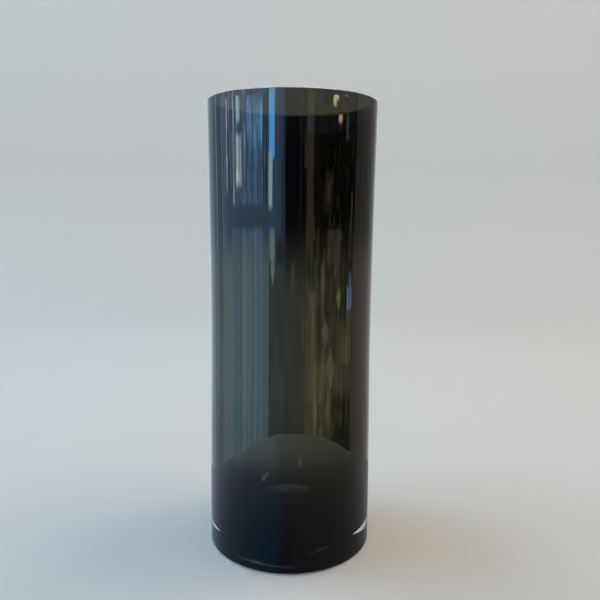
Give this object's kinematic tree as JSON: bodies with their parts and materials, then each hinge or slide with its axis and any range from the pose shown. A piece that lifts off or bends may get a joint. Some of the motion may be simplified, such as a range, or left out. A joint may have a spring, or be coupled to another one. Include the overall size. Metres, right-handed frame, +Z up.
{
  "type": "glass cylinder vase",
  "caption": "Tall cylinder vase in cased glass: a dark smoke-grey inner cup inside clear glass with a thick clear foot, for cut stems or dried flowers.",
  "frame": {"origin": "centre of the underside, on the surface that the vase stands on", "axes": "+Z up along the vase's axis; it is a body of revolution, so X and Y have no special direction"},
  "size_m": [0.15, 0.15, 0.4],
  "materials": {
    "clear_glass": "clear colourless glass, fire-polished and glossy, with faint waves and small seeds",
    "smoke_glass": "dark smoke-grey glass with a slight green cast, glossy, lets about a twentieth of the light through"
  },
  "bodies": {
    "root": {"clear_glass_casing": "clear_glass", "smoke_glass_liner": "smoke_glass"}
  },
  "joints": []
}
